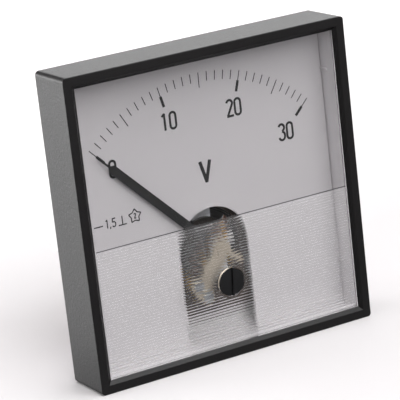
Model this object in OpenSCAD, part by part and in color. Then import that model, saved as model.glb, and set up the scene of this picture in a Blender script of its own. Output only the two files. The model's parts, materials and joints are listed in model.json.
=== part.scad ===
// Analog panel meter: a square moulded bezel, a clear window with a ribbed
// lower half, a recessed dial, and a round barrel that passes through the
// panel and holds a moving-coil movement.
//
// Every piece is drawn as it is seen from the front, with x to the right, y up
// and z towards the viewer, and with z = 0 on the panel's face. facing() then
// stands the drawing upright, so that +Y of the part runs into the panel.

/* [Bezel] */
// Side of the square bezel
bezel_side = 72; // [71:0.5:75]
// Depth of the bezel in front of the panel
bezel_depth = 13.2; // [13.2:0.1:14]
// Width of the flat front rim
rim_width = 2; // [1.5:0.1:2.2]
// Width and depth of the bevel between the rim and the window
bevel = 0.8; // [0.5:0.1:0.9]
// Radius of the bezel's four long edges
bezel_corner = 1; // [1:0.1:3]

/* [Window] */
// Thickness of the window
window_thickness = 1.5; // [1.3:0.1:1.6]
// Upper edge of the ribs, above the centre of the meter
rib_top = -3.5; // [-8:0.5:0]
// Distance from one rib to the next
rib_pitch = 0.635; // [0.5:0.005:1]
// Height of each rib's arch above the grooves between them
rib_depth = 0.07; // [0.04:0.01:0.12]

/* [Dial] */
// Face of the dial, in front of the panel
dial_face = 5.7; // [5.6:0.1:5.9]
// Thickness of the dial
dial_thickness = 0.8; // [0.5:0.1:0.8]
// Pivot of the pointer, above the centre of the meter
pivot_y = -11.5; // [-12:0.25:-11]
// Radius of the dial's arched opening
arch_radius = 9; // [8.9:0.1:9.5]

/* [Pointer] */
// Length from the pivot to the tip
pointer_length = 38.2; // [37:0.2:39]
// Width of the bar
pointer_width = 2.05; // [1.6:0.05:2.2]
// Width of the fine tip
tip_width = 0.45; // [0.3:0.05:0.6]
// Angle from the vertical to the zero mark
zero_angle = 45; // [42:1:48]
// Travel past each end of the scale
overtravel = 3; // [2:0.5:4]

/* [Zero adjuster] */
// Axis of the adjuster, above the centre of the meter
adjuster_y = -18.65; // [-18.85:0.1:-18.45]
// Radius of the adjuster's head
adjuster_radius = 3.2; // [3:0.1:3.3]
// Distance of the driving pin from the adjuster's axis
eccentricity = 1.2; // [0.8:0.1:1.3]

/* [Barrel] */
// Outer radius of the barrel
barrel_radius = 26.6; // [26.5:0.1:27.2]
// Length of the barrel behind the panel
barrel_length = 31.1; // [30.5:0.1:33]
// Wall of the barrel
barrel_wall = 1.6; // [1.4:0.1:1.6]

/* [Movement] */
// Radius of the soft-iron core
core_radius = 6.2; // [6:0.1:6.2]
// Radial gap between the core and the pole pieces
air_gap = 2.2; // [2.2:0.05:2.3]
// Turns of each hairspring
spring_turns = 4; // [3:1:5]

/* [Studs and terminals] */
// Distance between the fixing studs, both ways
stud_spacing = 57; // [56:0.5:58]
// Length of the fixing studs behind the panel
stud_length = 9.5; // [8:0.5:12]
// Distance between the two terminals
terminal_spacing = 24; // [22:1:26]
// Length of the terminals behind the barrel
terminal_length = 12.5; // [11:0.5:16]

/* [Hidden] */
$fn = 48;
eps = 0.01;

// Clearances: between moulded parts, in a running fit, and round a thread
fit = 0.15;
run = 0.05;
close_fit = 0.02;

// Bezel
bezel_wall = 1.5;
edge_round = 0.2;
opening = bezel_side - 2 * (rim_width + bevel);
cavity_side = bezel_side - 2 * bezel_wall;
window_face = bezel_depth - bevel;
lip_back = window_face - 0.8;

// Snap ridges of the case, in the bezel's grooves
ridge_length = 14;
ridge_height = 0.45;
ridge_base = 1.8;
ridge_top = 2.8;
groove_depth = 0.6;

// Window
window_back = window_face - window_thickness;
window_field = opening - 0.2;
rib_border = 0.3;
rib_flats = 6;
rib_sink = 0.05;
rib_low = -window_field / 2 + rib_border;
rib_count = floor((rib_top - rib_low) / rib_pitch);
collar_wall = 0.4;
collar_height = 0.2;

// Case
tray_side = cavity_side - 2 * fit;
floor_top = 1.5;
barrel_bore = barrel_radius - barrel_wall;
barrel_round = 0.8;
rear_wall = 2;
rear_inside = -barrel_length + rear_wall;
boss_top = 2;
boss_length = 8.5;
boss_radius = 2.6;
boss_places = [[21, 8], [-21, 8], [18.5, -13.5], [-18.5, -13.5]];
post_radius = 3.6;
clip_length = 0.6;
clip_height = 2.5;
clip_reach = 0.45;
clip_y = 23.5;
notch_angle = 187;

// Dial
dial_side = opening - 0.4;
dial_back = dial_face - dial_thickness;
arch_lift = 0.35;

// Heights along the pivot, from the front
bridge_base = dial_face + 2.75;
bridge_thickness = 0.7;
bridge_top = bridge_base + bridge_thickness;
lever_base = dial_face + 2.15;
lever_thickness = 0.35;
lever_top = lever_base + lever_thickness;
boss_low = dial_face + 2;
spring_base = dial_face + 1.45;
spring_height = 0.35;
pointer_base = dial_face + 0.95;
pointer_thickness = 0.15;
arm_height = dial_face - 0.3;
hub_base = arm_height - 0.6;

// Pointer and its balance
hub_radius = 1.3;
staff_radius = 0.45;
bar_end = pointer_length - 4.4;
taper_length = 0.8;
arm_radius = 0.3;
tail_length = 6.4;
side_arm_length = 4.8;
side_weight_radius = 0.7;
side_weight_length = 1.2;
tail_weight_radius = 1.3;
tail_weight_end = 5;

// The tail weight balances the pointer about the pivot. Densities are in
// milligrams for each cubic millimetre, and moments in milligram millimetres.
aluminium_density = 2.7;
brass_density = 8.5;
blade_moment = aluminium_density * pointer_thickness * (
    pointer_width * (pow(bar_end, 2) - pow(hub_radius, 2)) / 2
    + tip_width * (pow(pointer_length, 2) - pow(bar_end, 2)) / 2
);
tail_moment = brass_density * PI * pow(arm_radius, 2) * (pow(tail_length, 2) - pow(hub_radius, 2)) / 2;
weight_line = brass_density * PI * (pow(tail_weight_radius, 2) - pow(arm_radius + close_fit, 2));
balance_root = pow(tail_weight_end, 2) - 2 * (blade_moment - tail_moment) / weight_line;
tail_weight_length = tail_weight_end - sqrt(balance_root);

// Pointer stops, which the tail meets at each end of the travel
stop_radius = 0.35;
stop_reach = 5.6;
stop_angle = zero_angle + overtravel + asin((stop_radius + arm_radius + run) / stop_reach);
stop_low = arm_height - arm_radius;

// Core, coil and pole pieces
core_front = 2;
core_back = -14.5;
pole_bore = core_radius + air_gap;
pole_front = boss_top;
pole_back = -15;
pole_outer = 13;
pole_tip = 4.8;
pole_reach = 8.5;
magnet_half = 7.2;
magnet_low = 3;
arm_top = 16;
coil_gap = 0.5;
former_base = 0.25;
winding_depth = 0.75;
former_width = 2.6;
flange = 0.25;
coil_inner = core_radius + coil_gap;
coil_outer = coil_inner + former_base + winding_depth + 0.05;
coil_end_gap = 0.7;
coil_front = core_front + coil_end_gap + coil_outer - coil_inner;
coil_back = core_back - coil_end_gap - (coil_outer - coil_inner);
coil_corner = 1;

// Movement plate, pillars and bridges
plate_base = boss_top;
plate_top = plate_base + 1.2;
plate_width = 46;
plate_high = 17;
plate_low = -27.4;
plate_corner = 3;
plate_hole = pole_bore + 0.3;
pillar_places = [[-7, -18.6], [-4.9, -21.4]];
pillar_radius = 1.3;
bridge_width = 4.2;
bridge_disc = 2.3;
spigot_radius = 0.9;
jewel_screw_radius = 1;
pole_screw_places = [[10, 10], [-10, 10], [10.6, -17.2], [-10.6, -17.2]];
strap_half = 12.4;
strap_width = 5;
strap_inside = -19.2;
strap_outside = -20.5;
leg_width = 3.2;
rear_screw_x = 10.8;
rear_spring_base = -17.75;
anchor_thickness = 0.3;

// Hairsprings
spring_inner = 1.05;
spring_outer = 3.2;
strip = 0.12;
collet_radius = 0.95;
spring_stud_reach = 3.6;
spring_stud_radius = 0.35;
stud_arm_angle = 60;

// Zero adjuster and lever
shaft_radius = 2.2;
snap_radius = 2.45;
snap_base = 10.4;
pin_radius = 0.5;
pin_low = lever_base - 0.1;
slot_width = 0.65;
slot_depth = 0.55;
slot_angle = 5;
head_seat = 0.8;
head_rim = 0.05;
head_rise = 0.2;
solder_radius = 0.9;
fork_width = 3;
fork_start = 6.9;
fork_end = 9.3;
fork_slot = 2 * (pin_radius + fit);
lever_ring = 2.6;
lever_bore = 1.65;
bridge_boss = lever_bore - run;

// Studs, terminals and wiring
stud_radius = 1.5;
stud_head = [2.6, 1.8];
stud_waist = 1.3;
stud_recess = 0.3;
stud_chamfer = 0.5;
terminal_radius = 2;
terminal_root = 1.6;
tag_thickness = 0.5;
washer = [4.3, 0.8];
nut_flats = 7;
nut_height = 2.2;
resistor_place = [0, 13, -26];
resistor_radius = 1.7;
resistor_length = 7;
tag_tip = 9;
wire_radius = 0.35;
insulation_radius = 0.5;

// ---------------------------------------------------------------- helpers

module facing() {
    rotate([90, 0, 0]) children();
}

// A rod round the z axis, from one height to another
module rod(low, high, radius) {
    translate([0, 0, low]) cylinder(h = high - low, r = radius);
}

// A flat outline given thickness, from one height to another
module slab(low, high) {
    translate([0, 0, low]) linear_extrude(high - low) children();
}

module at_pivot() {
    translate([0, pivot_y, 0]) children();
}

module both_sides() {
    children();
    mirror([1, 0, 0]) children();
}

module rounded_rect(width, height, radius) {
    square([width, height - 2 * radius], center = true);
    square([width - 2 * radius, height], center = true);
    for (x = [-1, 1], y = [-1, 1])
        translate([x * (width / 2 - radius), y * (height / 2 - radius)]) circle(radius);
}

// A flat bar with round ends
module bar(from, to, width) {
    run_x = to[0] - from[0];
    run_y = to[1] - from[1];
    translate(from) rotate(atan2(run_y, run_x)) {
        translate([0, -width / 2]) square([norm([run_x, run_y]), width]);
        circle(width / 2);
        translate([norm([run_x, run_y]), 0]) circle(width / 2);
    }
}

// A round wire through a list of points, with a slightly wider ball in each bend
module wire(points, radius) {
    last = len(points) - 1;
    for (i = [1 : last]) {
        step = points[i - 1] - points[i];
        length = norm(step);
        translate(points[i]) rotate([0, acos(step[2] / length), atan2(step[1], step[0])]) {
            cylinder(h = length, r = radius, $fn = 24);
            if (i < last) sphere(1.05 * radius, $fn = 24);
        }
    }
}

// A cone of solder standing on a surface
module solder(place, radius, height) {
    translate(place) cylinder(h = height, r1 = radius, r2 = radius / 2, $fn = 24);
}

// A cheese-head screw with a slot, pointing down from its head's seat
module screw(seat, head_radius, head_height, shank_radius, shank_length) {
    difference() {
        union() {
            rod(seat, seat + head_height, head_radius);
            rod(seat - shank_length, seat + eps, shank_radius);
        }
        translate([0, 0, seat + head_height])
            cube([3 * head_radius, head_radius / 3, head_height], center = true);
    }
}

function polar(radius, angle) = radius * [sin(angle), cos(angle)];

// ------------------------------------------------------------------ bezel

// Outline of a block whose two upper corners are rounded
module soft_top(width, height, radius) {
    translate([-width / 2, 0]) square([width, height - radius]);
    translate([-width / 2 + radius, 0]) square([width - 2 * radius, height]);
    for (side = [-1, 1])
        translate([side * (width / 2 - radius), height - radius]) circle(radius);
}

// The same outline run both ways across a square, so its corners are mitred
module mitred(side) {
    intersection_for(turn = [0, 90])
        rotate([0, 0, turn]) rotate([90, 0, 0]) linear_extrude(side, center = true) children();
}

module bevel_cut() {
    spread = opening / 2 + bevel + 1;
    mitred(2 * spread)
        polygon([
            [-opening / 2, window_face],
            [-spread, bezel_depth + 1],
            [spread, bezel_depth + 1],
            [opening / 2, window_face]
        ]);
}

module bezel_frame() {
    color("#27272a") difference() {
        intersection() {
            slab(0, bezel_depth) rounded_rect(bezel_side, bezel_side, bezel_corner);
            mitred(bezel_side) soft_top(bezel_side, bezel_depth, edge_round);
        }
        slab(-1, lip_back) square(cavity_side, center = true);
        slab(0, window_face + eps) square(opening, center = true);
        bevel_cut();
        for (turn = [0 : 90 : 270])
            rotate([0, 0, turn])
                translate([cavity_side / 2 - 1, -ridge_length / 2 - fit, ridge_base - fit])
                    cube([1 + groove_depth, ridge_length + 2 * fit, ridge_top - ridge_base + 2 * fit]);
    }
}

// ----------------------------------------------------------------- window

// The space above the ribs: each rib is a low arch of narrow flats
module rib_grooves() {
    crest = window_face - rib_sink;
    flat = rib_pitch / rib_flats;
    arches = [
        for (i = [0 : rib_flats * rib_count])
            let (across = 2 * (i % rib_flats) / rib_flats - 1)
                [rib_low + i * flat, crest - rib_depth * pow(across, 2)]
    ];
    last = rib_low + rib_count * rib_pitch;
    rotate([90, 0, 90]) linear_extrude(window_field - 2 * rib_border, center = true)
        polygon(concat(arches, [[last, window_face + 1], [rib_low, window_face + 1]]));
}

module window() {
    collar_bore = adjuster_radius + fit;
    color("#dfe5e6", 0.35) difference() {
        union() {
            slab(window_back, lip_back) square(tray_side, center = true);
            difference() {
                slab(window_back, window_face) square(window_field, center = true);
                rib_grooves();
            }
            translate([0, adjuster_y, 0])
                rod(window_back, window_face + collar_height, collar_bore + collar_wall);
        }
        translate([0, adjuster_y, 0]) {
            rod(window_back - 1, window_face + 1, shaft_radius + run);
            rod(window_face - head_seat - run, window_face + 1, collar_bore);
        }
    }
}

// ------------------------------------------------------------------- case

module each_stud() {
    for (x = [-1, 1], y = [-1, 1])
        translate([x * stud_spacing / 2, y * stud_spacing / 2, 0]) children();
}

module each_terminal() {
    for (side = [-1, 1]) translate([side * terminal_spacing / 2, 0, 0]) children();
}

module case() {
    color("#f1f1ee") difference() {
        union() {
            difference() {
                slab(0, window_back) square(tray_side, center = true);
                slab(floor_top, window_back + 1) square(opening, center = true);
            }
            rotate_extrude($fn = 128) barrel_outline();
            each_stud() rod(0, dial_back, post_radius);
            case_ridges();
            dial_clips();
        }
        difference() {
            rod(rear_inside, floor_top + eps, barrel_bore, $fn = 128);
            for (place = boss_places) {
                translate(place) rod(boss_top - boss_length, boss_top, boss_radius);
                slab(boss_top - boss_length, floor_top) bar(place, place * 1.12, 2 * boss_radius - 2);
            }
        }
        each_stud() {
            rod(-1, dial_back, stud_waist + run);
            rod(-1, stud_recess, stud_radius + run);
            rod(floor_top, dial_back + 1, stud_head[0] + fit);
        }
        each_terminal() rod(-barrel_length - 1, rear_inside + 1, terminal_radius + run);
        for (place = boss_places)
            translate(place) rod(boss_top - boss_length + 1, boss_top + 1, 1 + run);
        rim_notch();
    }
    color("#f1f1ee") for (place = boss_places)
        translate(place) difference() {
            rod(floor_top - eps, boss_top, boss_radius);
            rod(floor_top - 1, boss_top + 1, 1 + run);
        }
}

// Half of the barrel's section, with its rear edge rounded
module barrel_outline() {
    translate([0, -barrel_length]) {
        square([barrel_radius - barrel_round, barrel_length + floor_top]);
        translate([0, barrel_round]) square([barrel_radius, barrel_length + floor_top - barrel_round]);
        translate([barrel_radius - barrel_round, barrel_round]) circle(barrel_round);
    }
}

// Ridges on the four sides, which snap into the bezel's grooves
module case_ridges() {
    for (turn = [0 : 90 : 270])
        rotate([0, 0, turn]) rotate([90, 0, 0]) linear_extrude(ridge_length, center = true)
            polygon([
                [tray_side / 2 - 1, ridge_base],
                [tray_side / 2 + ridge_height, ridge_base],
                [tray_side / 2, ridge_top],
                [tray_side / 2 - 1, ridge_top]
            ]);
}

// Small nubs on the side walls, which hold the dial down
module dial_clips() {
    for (side = [0, 1], y = [-clip_y, clip_y])
        mirror([side, 0, 0]) translate([opening / 2 - clip_reach, y - clip_length / 2, dial_face])
            cube([clip_reach + 0.5, clip_length, clip_height]);
}

// A small notch in the barrel's rear edge
module rim_notch() {
    rotate([0, 0, notch_angle]) translate([barrel_radius - 0.8, -0.6, -barrel_length - 1])
        cube([2, 1.2, 2]);
}

// ------------------------------------------------------------------- dial

module arch() {
    translate([0, pivot_y + arch_lift]) circle(arch_radius, $fn = 96);
    translate([-arch_radius, -dial_side / 2 - 1])
        square([2 * arch_radius, pivot_y + arch_lift + dial_side / 2 + 1]);
}

module dial_plate() {
    color("#e6e6e3") slab(dial_back, dial_face) difference() {
        square(dial_side, center = true);
        arch();
    }
}

// ---------------------------------------------------------- zero adjuster

module zero_adjuster() {
    dome_radius = (pow(adjuster_radius, 2) + pow(head_rise, 2)) / (2 * head_rise);
    head_top = window_face + head_rim + head_rise;
    color("#1c1c1e") translate([0, adjuster_y, 0]) difference() {
        union() {
            intersection() {
                rod(window_face - head_seat, head_top + 1, adjuster_radius);
                translate([0, 0, head_top - dome_radius]) sphere(dome_radius, $fn = 128);
            }
            rod(snap_base, window_face - head_seat + eps, shaft_radius);
            rod(snap_base, window_back - run, snap_radius);
            translate([0, -eccentricity, 0]) rod(pin_low, snap_base + eps, pin_radius);
        }
        translate([0, 0, head_top]) rotate([0, 0, -slot_angle])
            cube([slot_width, 3 * adjuster_radius, 2 * slot_depth], center = true);
    }
}

// The lever grips the front bridge's boss, and its fork follows the pin
module zero_lever() {
    color("#cfcfca") at_pivot() {
        slab(lever_base, lever_base + lever_thickness) difference() {
            union() {
                circle(lever_ring);
                translate([-fork_width / 2, -fork_end]) square([fork_width, fork_end]);
                bar([0, 0], polar(spring_stud_reach, stud_arm_angle), 2 * solder_radius);
            }
            circle(lever_bore);
            translate([-fork_slot / 2, -fork_end - 1]) square([fork_slot, fork_end - fork_start + 1]);
            translate([-0.2, 0]) square([0.4, lever_ring + 1]);
        }
        translate(polar(spring_stud_reach, stud_arm_angle)) {
            rod(spring_base, lever_base + eps, spring_stud_radius);
            solder([0, 0, lever_top - eps], solder_radius, 0.45);
        }
    }
}

// --------------------------------------------------------- moving element

// Everything on the staff is drawn pointing up, then turned to the zero mark
module at_zero() {
    at_pivot() rotate([0, 0, zero_angle]) children();
}

module pointer() {
    top = pointer_base + pointer_thickness;
    color("#1a1a1b") at_zero() difference() {
        union() {
            rod(pointer_base, top, hub_radius + 0.3);
            slab(pointer_base, top) polygon([
                [-pointer_width / 2, hub_radius - 0.2],
                [-pointer_width / 2, bar_end],
                [-tip_width / 2, bar_end + taper_length],
                [-tip_width / 2, pointer_length],
                [tip_width / 2, pointer_length],
                [tip_width / 2, bar_end + taper_length],
                [pointer_width / 2, bar_end],
                [pointer_width / 2, hub_radius - 0.2]
            ]);
        }
        rod(pointer_base - 1, top + 1, staff_radius + close_fit);
    }
}

module balance_cross() {
    color("#c8bf9f") at_zero() difference() {
        union() {
            rod(hub_base, pointer_base, hub_radius);
            translate([0, 0, arm_height]) {
                rotate([90, 0, 0]) cylinder(h = tail_length, r = arm_radius);
                rotate([0, 90, 0])
                    cylinder(h = 2 * side_arm_length, r = arm_radius, center = true);
            }
        }
        rod(hub_base - 1, pointer_base + 1, staff_radius + close_fit);
    }
}

module sleeve(length, radius) {
    difference() {
        cylinder(h = length, r = radius);
        translate([0, 0, -1]) cylinder(h = length + 2, r = arm_radius + close_fit);
    }
}

module balance_weights() {
    color("#a98c45") at_zero() translate([0, 0, arm_height]) {
        translate([0, -tail_weight_end + tail_weight_length, 0]) rotate([90, 0, 0])
            sleeve(tail_weight_length, tail_weight_radius);
        both_sides()
            translate([side_arm_length - side_weight_length, 0, 0]) rotate([0, 90, 0])
                sleeve(side_weight_length, side_weight_radius);
    }
}

module front_staff() {
    color("#8f9296") at_pivot() rotate_extrude($fn = 96)
        polygon([
            [0, coil_front], [1.4, coil_front], [1.4, coil_front + 0.55],
            [2 * staff_radius, coil_front + 0.55], [2 * staff_radius, hub_base],
            [staff_radius, hub_base], [staff_radius, boss_low - run], [0, boss_low + 0.35]
        ]);
}

module rear_staff() {
    color("#8f9296") at_pivot() rotate_extrude($fn = 96)
        polygon([
            [0, coil_back], [1.4, coil_back], [1.4, coil_back - 0.55],
            [2 * staff_radius, coil_back - 0.55], [2 * staff_radius, coil_back - 0.85],
            [staff_radius, coil_back - 0.85], [staff_radius, coil_back - 2], [0, coil_back - 2.4]
        ]);
}

// A closed loop in the plane of the pivot's axis, of a given width across it
module coil_loop(half, low, high, wall, width) {
    rotate([90, 0, 0]) translate([0, (low + high) / 2, -width / 2]) linear_extrude(width)
        difference() {
            rounded_rect(2 * half, high - low, coil_corner);
            square([2 * (half - wall), high - low - 2 * wall], center = true);
        }
}

module coil_former() {
    wall = coil_outer - coil_inner;
    color("#c8cacc") at_zero() difference() {
        coil_loop(coil_outer, coil_back, coil_front, wall, former_width);
        coil_loop(coil_outer + 1, coil_back - 1, coil_front + 1, wall - former_base + 1,
            former_width - 2 * flange);
    }
}

module coil_winding() {
    wall = winding_depth;
    trim = coil_outer - coil_inner - former_base - winding_depth;
    color("#7d4a30") at_zero()
        coil_loop(coil_outer - trim, coil_back + trim, coil_front - trim, wall, former_width - 2 * flange);
}

// ------------------------------------------------------------- hairsprings

// A flat spiral strip that winds outwards and ends at the given angle
module spiral(end_angle, hand) {
    steps = 24 * spring_turns;
    edge = function (i, side)
        let (radius = spring_inner + (spring_outer - spring_inner) * i / steps + side * strip / 2)
        polar(radius, end_angle + hand * (i - steps) * 15);
    polygon(concat(
        [for (i = [0 : steps]) edge(i, -1)],
        [for (i = [steps : -1 : 0]) edge(i, 1)]
    ));
}

module hairspring(base, end_angle, hand) {
    color("#a5793d") at_pivot() {
        slab(base, base + spring_height) spiral(end_angle, hand);
        difference() {
            rod(base - 0.3, base + spring_height + 0.05, collet_radius + strip);
            rod(base - 1, base + 1, staff_radius + close_fit);
        }
    }
}

module front_hairspring() {
    hairspring(spring_base, stud_arm_angle, 1);
}

module rear_hairspring() {
    hairspring(rear_spring_base, -stud_arm_angle, -1);
}

// ---------------------------------------------------------------- bridges

module front_bridge() {
    color("#bda66a") difference() {
        union() {
            slab(bridge_base, bridge_top) {
                at_pivot() circle(bridge_disc);
                bar([0, pivot_y], (pillar_places[0] + pillar_places[1]) / 2, bridge_width);
                bar(pillar_places[0], pillar_places[1], 2 * pillar_radius + 0.8);
                both_sides() at_pivot() bar([0, 0], polar(stop_reach, 180 - stop_angle), 1.4);
            }
            at_pivot() {
                rod(boss_low, bridge_base + eps, bridge_boss);
                rod(boss_low, boss_low + 0.1, bridge_boss + 0.2);
                both_sides() translate(polar(stop_reach, 180 - stop_angle))
                    rod(stop_low, bridge_base + eps, stop_radius);
            }
        }
        at_pivot() rod(boss_low - 1, bridge_top + 1, jewel_screw_radius + run);
        for (place = pillar_places) translate(place) rod(bridge_base - 1, bridge_top + 1, 0.8);
    }
}

module bridge_pillars() {
    color("#b59a4c") for (place = pillar_places) translate(place) difference() {
        union() {
            rod(plate_top, bridge_base, pillar_radius);
            rod(plate_base, plate_top + eps, spigot_radius);
        }
        rod(bridge_base - 3, bridge_base + 1, 0.7 + run);
    }
}

module bridge_screws() {
    color("#9da0a3") for (place = pillar_places)
        translate(place) screw(bridge_top, 1.3, 0.45, 0.7, 2.8);
}

// A jewel screw, drawn with its cup facing down and its flange at height 0
module jewel_screw(length) {
    cup_depth = 0.55;
    difference() {
        union() {
            rod(0, 0.25, 1.4);
            rod(-length, eps, jewel_screw_radius);
        }
        translate([0, 0, -length - eps]) cylinder(h = cup_depth, r1 = 0.6, r2 = 0.02);
        translate([0, 0, 0.25]) cube([4, 0.35, 0.3], center = true);
    }
}

module front_jewel_screw() {
    color("#c8bf9f") at_pivot() translate([0, 0, bridge_top]) jewel_screw(bridge_top - boss_low);
}

module rear_bridge() {
    color("#bda66a") difference() {
        union() {
            translate([0, pivot_y]) slab(strap_outside, strap_inside)
                square([2 * strap_half, strap_width], center = true);
            both_sides()
                translate([strap_half - leg_width, pivot_y - strap_width / 2, strap_inside - eps])
                    cube([leg_width, strap_width, pole_back - strap_inside + eps]);
        }
        at_pivot() rod(strap_outside - 1, strap_inside + 1, jewel_screw_radius + run);
        both_sides() translate([rear_screw_x, pivot_y]) rod(strap_outside - 1, pole_back + 1, 1 + run);
    }
}

module rear_bridge_screws() {
    color("#9da0a3") both_sides() translate([rear_screw_x, pivot_y, strap_outside])
        mirror([0, 0, 1]) screw(0, 1.8, 1.2, 1, 10.5);
}

module rear_jewel_screw() {
    color("#b59a4c") at_pivot() translate([0, 0, strap_outside]) mirror([0, 0, 1])
        jewel_screw(coil_back - 2.05 - strap_outside);
}

// Holds the outer end of the rear hairspring and the resistor's lead
module rear_spring_anchor() {
    low = strap_inside;
    high = strap_inside + anchor_thickness;
    color("#b59a4c") at_pivot() {
        slab(low, high) difference() {
            union() {
                circle(2.3);
                bar([0, 0], polar(spring_stud_reach, -stud_arm_angle), 1.4);
                bar([0, 0], [0, 5.7], 1.6);
            }
            circle(jewel_screw_radius + run);
        }
        translate(polar(spring_stud_reach, -stud_arm_angle))
            rod(low, rear_spring_base + spring_height, spring_stud_radius);
    }
}

// --------------------------------------------------------- magnet and core

module magnet() {
    color("#55575a") slab(core_back + 0.5, core_front - 0.5)
        translate([0, (magnet_low + arm_top) / 2]) intersection() {
            square([2 * magnet_half, arm_top - magnet_low], center = true);
            rounded_rect(2 * magnet_half, arm_top - magnet_low, 0.8);
        }
}

// The left pole piece: an arm beside the magnet, and a shoe round the core
module pole_piece() {
    difference() {
        slab(pole_back, pole_front) difference() {
            union() {
                translate([-pole_outer, pivot_y - pole_reach])
                    square([pole_outer - pole_tip, 2 * pole_reach]);
                translate([-pole_outer, pivot_y])
                    square([pole_outer - magnet_half, arm_top - pivot_y]);
            }
            translate([0, pivot_y]) circle(pole_bore, $fn = 96);
        }
        for (place = pole_screw_places)
            translate(place) rod(pole_front - 8, pole_front + 1, 1.25 + run);
        translate([-rear_screw_x, pivot_y]) rod(pole_back - 1, pole_back + 7, 1 + run);
    }
}

module left_pole_piece() {
    color("#3a3735") pole_piece();
}

module right_pole_piece() {
    color("#3a3735") mirror([1, 0, 0]) pole_piece();
}

module each_core_screw() {
    for (height = [core_back + 4, core_front - 4])
        translate([0, pivot_y + core_radius, height]) rotate([-90, 0, 0]) children();
}

module core() {
    color("#3a3735") difference() {
        at_pivot() rod(core_back, core_front, core_radius, $fn = 96);
        each_core_screw() rod(-4.5, 1, 1 + run);
    }
}

// Carries the core between the pole pieces' arms
module core_bracket() {
    strap_top = pivot_y + core_radius + 6.1;
    color("#c3c6c8") difference() {
        slab(core_back + 1, core_front - 1) difference() {
            union() {
                translate([-magnet_half, strap_top - 3]) square([2 * magnet_half, 3]);
                translate([-2.4, pivot_y]) square([4.8, strap_top - pivot_y]);
            }
            translate([0, pivot_y]) circle(core_radius + close_fit, $fn = 96);
        }
        each_core_screw() rod(-1, 7, 1 + run);
    }
}

module core_screws() {
    color("#9da0a3") each_core_screw() screw(6.1, 1.8, 1.2, 1, 10);
}

// --------------------------------------------------------- movement plate

module movement_plate() {
    color("#4b382b") slab(plate_base, plate_top) difference() {
        translate([0, (plate_low + plate_high) / 2])
            rounded_rect(plate_width, plate_high - plate_low, plate_corner);
        translate([0, pivot_y]) circle(plate_hole);
        for (place = pole_screw_places) translate(place) circle(1.25 + 2 * run);
        for (place = boss_places) translate(place) circle(1 + 2 * run);
        for (place = pillar_places) translate(place) circle(spigot_radius + close_fit);
    }
}

module pole_screws() {
    color("#9da0a3") for (place = pole_screw_places)
        translate(place) screw(plate_top, 2.2, 1.3, 1.25, 9);
}

module plate_screws() {
    color("#9da0a3") for (place = boss_places)
        translate(place) screw(plate_top, 2, 1.3, 1, 7);
}

// ----------------------------------------------------------------- wiring

module series_resistor() {
    half = resistor_length / 2;
    tag = [terminal_spacing / 2, tag_tip - 1, rear_inside + tag_thickness];
    lug = [0, pivot_y + 5.5, strap_inside];
    color("#7f9fb5") translate(resistor_place) rotate([0, 90, 0])
        cylinder(h = resistor_length, r = resistor_radius, center = true);
    color("#b9bcbe") {
        wire([resistor_place + [half - 1, 0, 0], tag + [-1, 5, 2.25], tag + [0, 0, 0.5]], wire_radius);
        solder(tag, 1.1, 0.9);
        wire([
            resistor_place - [half - 1, 0, 0],
            resistor_place - [half + 2.5, 0.3, 0.2],
            [-6, 3, -22.5],
            lug - [0, 0, 0.5]
        ], wire_radius);
        translate(lug) mirror([0, 0, 1]) solder([0, 0, 0], 0.75, 0.9);
    }
}

module negative_lead() {
    tag = [-terminal_spacing / 2, tag_tip - 1, rear_inside + tag_thickness];
    pole = [-10, 8, pole_back];
    color("#1f2a6b") {
        wire([tag + [0, 0, 0.7], [-15, 9, -25], [-14, 10, -19], pole - [0, 0, 0.7]], insulation_radius);
        solder(tag, 1.1, 1);
        translate(pole) mirror([0, 0, 1]) solder([0, 0, 0], 1.1, 1);
    }
}

// ---------------------------------------------------- studs and terminals

// A threaded end that points backwards, with a chamfered tip
module threaded_end(tip, start, radius) {
    rod(tip + stud_chamfer, start, radius);
    translate([0, 0, tip]) cylinder(h = stud_chamfer, r1 = radius - stud_chamfer, r2 = radius);
}

module fixing_studs() {
    color("#b4b7ba") each_stud() {
        rod(floor_top, floor_top + stud_head[1], stud_head[0]);
        rod(0, floor_top + eps, stud_waist);
        threaded_end(-stud_length, 0, stud_radius);
    }
}

// A hexagon with both of its ends chamfered
module hexagon(low, high, flats) {
    corner = flats / sqrt(3);
    flat = 0.95 * flats / 2;
    drop = (corner - flat) / 2;
    intersection() {
        translate([0, 0, low]) cylinder(h = high - low, r = corner, $fn = 6);
        rotate_extrude() polygon([
            [0, low], [flat, low], [corner, low + drop],
            [corner, high - drop], [flat, high], [0, high]
        ]);
    }
}

module terminal_studs() {
    seat = rear_inside + tag_thickness;
    color("#c2a75c") each_terminal() {
        hexagon(seat, seat + 2.5, nut_flats);
        rod(-barrel_length, seat + eps, terminal_radius);
        rod(stack(2), -barrel_length + eps, terminal_root);
        threaded_end(-barrel_length - terminal_length, stack(2) + eps, terminal_radius);
    }
}

// Height of the back face of the n-th washer and nut behind the barrel
function stack(n) = -barrel_length - n * (washer[1] + nut_height);

module terminal_washers() {
    color("#c9cccf") each_terminal() for (n = [0, 1]) difference() {
        rod(stack(n) - washer[1], stack(n), washer[0]);
        rod(stack(n) - 2, stack(n) + 1, terminal_radius + run);
    }
}

module terminal_nuts() {
    color("#c2a75c") each_terminal() for (n = [0, 1]) difference() {
        hexagon(stack(n + 1), stack(n + 1) + nut_height, nut_flats);
        rod(stack(n + 1) - 1, stack(n), terminal_root + run);
    }
}

module solder_tags() {
    color("#cfd2d4") each_terminal() slab(rear_inside, rear_inside + tag_thickness) difference() {
        union() {
            circle(washer[0]);
            bar([0, 0], [0, tag_tip], 2.6);
        }
        circle(terminal_radius + run);
    }
}

// ------------------------------------------------------------------- draw

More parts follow.
